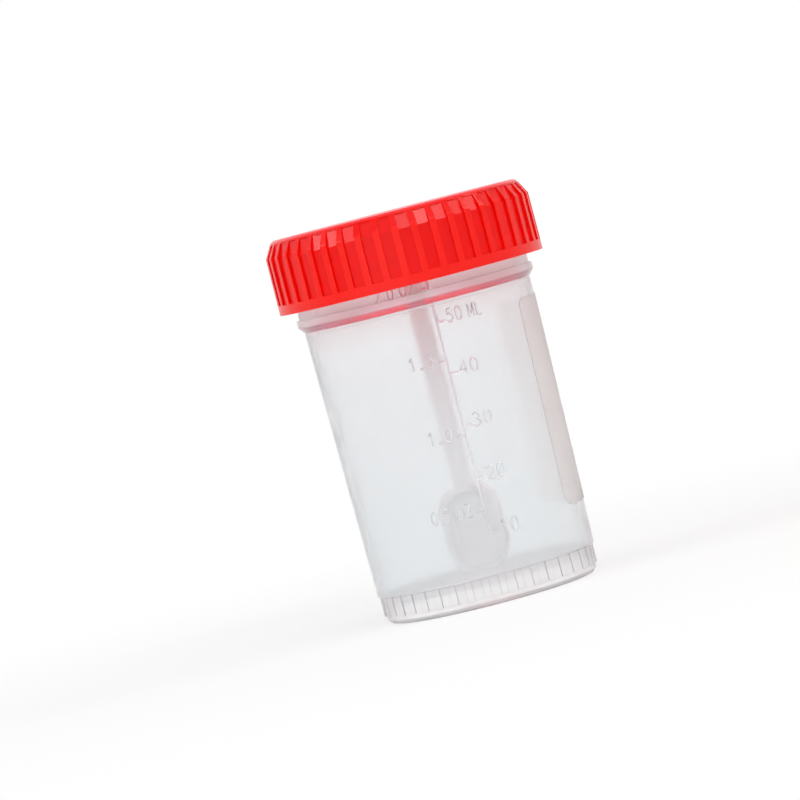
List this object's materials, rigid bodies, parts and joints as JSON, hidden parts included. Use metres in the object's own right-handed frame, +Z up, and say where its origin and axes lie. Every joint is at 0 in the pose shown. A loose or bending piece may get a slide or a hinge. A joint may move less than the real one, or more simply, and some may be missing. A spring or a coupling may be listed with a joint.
{
  "type": "specimen container",
  "caption": "Screw-capped specimen container: a clear ribbed cup with a raised volume scale, a ribbed red cap, and a spoon that hangs from the cap.",
  "frame": {"origin": "centre of the ring that the cup stands on, at its lowest point", "axes": "+Z up the container's axis from the foot to the cap, -Y towards the volume scale, +X towards the writing panel"},
  "size_m": [0.0466, 0.0466, 0.0689],
  "materials": {
    "clear_plastic": "natural see-through polypropylene, faintly milky, smooth",
    "red_plastic": "bright red moulded plastic, satin gloss, opaque",
    "white_plastic": "whitish moulded plastic that lets a little light through, satin"
  },
  "bodies": {
    "cup": {"cup": "clear_plastic"},
    "lid": {"cap": "red_plastic", "spoon": "white_plastic"}
  },
  "joints": [
    {"name": "lid_lift", "type": "slide", "parent": "cup", "child": "lid", "axis": [0, 0, 1], "range_m": [0, 0.07]}
  ]
}
